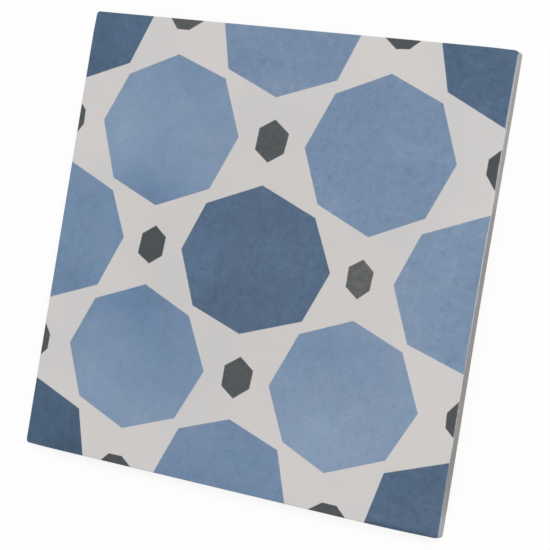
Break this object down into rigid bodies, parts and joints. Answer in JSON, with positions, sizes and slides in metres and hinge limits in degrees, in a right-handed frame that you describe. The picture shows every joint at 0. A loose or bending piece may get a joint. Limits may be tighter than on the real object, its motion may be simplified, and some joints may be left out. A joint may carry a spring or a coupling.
{
  "type": "square tile",
  "caption": "Square pressed stoneware floor and wall tile with a matt octagon-and-dot print in blues, cream and charcoal, rounded glazed edges and a keyed back.",
  "frame": {"origin": "middle of the back plane that the tile rests on, under the centre of its printed face", "axes": "+Z out of the printed face, +Y towards the edge that the picture shows at the top, +X towards the edge whose side shows in the picture"},
  "size_m": [0.2, 0.2, 0.0075],
  "materials": {
    "glazed_stoneware": "matt printed glaze on the face and its rounded edge, bare fired beige-grey body on the sides and back"
  },
  "bodies": {
    "root": {"tile": "glazed_stoneware"}
  },
  "joints": []
}
